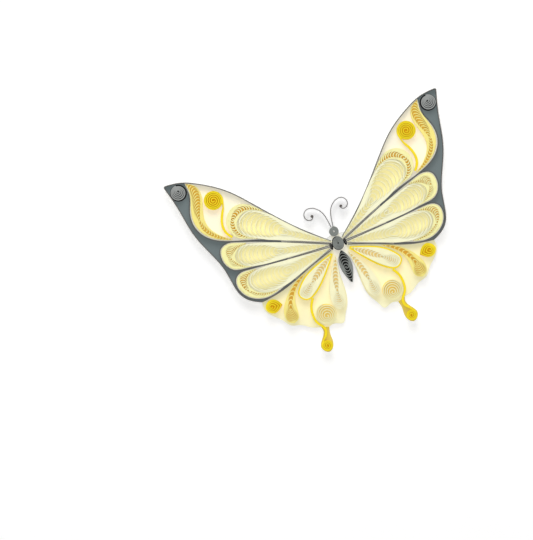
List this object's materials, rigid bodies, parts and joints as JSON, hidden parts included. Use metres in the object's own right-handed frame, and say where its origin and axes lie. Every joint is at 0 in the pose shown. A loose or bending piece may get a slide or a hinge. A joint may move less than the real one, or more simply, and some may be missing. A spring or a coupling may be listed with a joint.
{
  "type": "quilled paper butterfly",
  "caption": "Butterfly of rolled and edge-standing paper strips glued on a cut card base, with foam pads at the back that lift it off the sheet it decorates.",
  "frame": {"origin": "under the middle of the thorax, on the surface that the foam pads are stuck to", "axes": "+X across the wings to the butterfly's right as seen from above with the head up, +Y along the body towards the head, +Z away from the surface, out of the coils' open ends"},
  "size_m": [0.095, 0.0694, 0.0053],
  "materials": {
    "grey_paper": "matte",
    "cream_paper": "matte",
    "pale_yellow_paper": "matte",
    "bright_yellow_paper": "matte",
    "card": "matte",
    "foam": "matte"
  },
  "bodies": {
    "root": {"abdomen_coil": "grey_paper", "base_card": "card", "head_coil": "grey_paper", "left_antenna": "grey_paper", "left_corner_coil": "bright_yellow_paper", "left_costal_crescent": "pale_yellow_paper", "left_costal_teardrop": "cream_paper", "left_forewing_outline": "grey_paper", "left_forewing_pad": "foam", "left_forewing_scroll": "bright_yellow_paper", "left_hind_inner_teardrop": "cream_paper", "left_hind_outer_leaf": "pale_yellow_paper", "left_hind_upper_teardrop": "cream_paper", "left_hind_wrap": "bright_yellow_paper", "left_hindwing_pad": "foam", "left_long_leaf": "pale_yellow_paper", "left_lower_crescent": "pale_yellow_paper", "left_lower_teardrop": "cream_paper", "left_lower_wrap": "grey_paper", "left_middle_crescent": "pale_yellow_paper", "left_middle_teardrop": "cream_paper", "left_middle_wrap": "grey_paper", "left_round_coil": "cream_paper", "left_tail_scroll": "bright_yellow_paper", "left_tip_coil": "grey_paper", "left_upper_vein": "grey_paper", "right_antenna": "grey_paper", "right_corner_coil": "bright_yellow_paper", "right_costal_crescent": "pale_yellow_paper", "right_costal_teardrop": "cream_paper", "right_forewing_outline": "grey_paper", "right_forewing_pad": "foam", "right_forewing_scroll": "bright_yellow_paper", "right_hind_inner_teardrop": "cream_paper", "right_hind_outer_leaf": "pale_yellow_paper", "right_hind_upper_teardrop": "cream_paper", "right_hind_wrap": "bright_yellow_paper", "right_hindwing_pad": "foam", "right_long_leaf": "pale_yellow_paper", "right_lower_crescent": "pale_yellow_paper", "right_lower_teardrop": "cream_paper", "right_lower_wrap": "grey_paper", "right_middle_crescent": "pale_yellow_paper", "right_middle_teardrop": "cream_paper", "right_middle_wrap": "grey_paper", "right_round_coil": "cream_paper", "right_tail_scroll": "bright_yellow_paper", "right_tip_coil": "grey_paper", "right_upper_vein": "grey_paper", "thorax_coil": "grey_paper", "thorax_pad": "foam"}
  },
  "joints": []
}
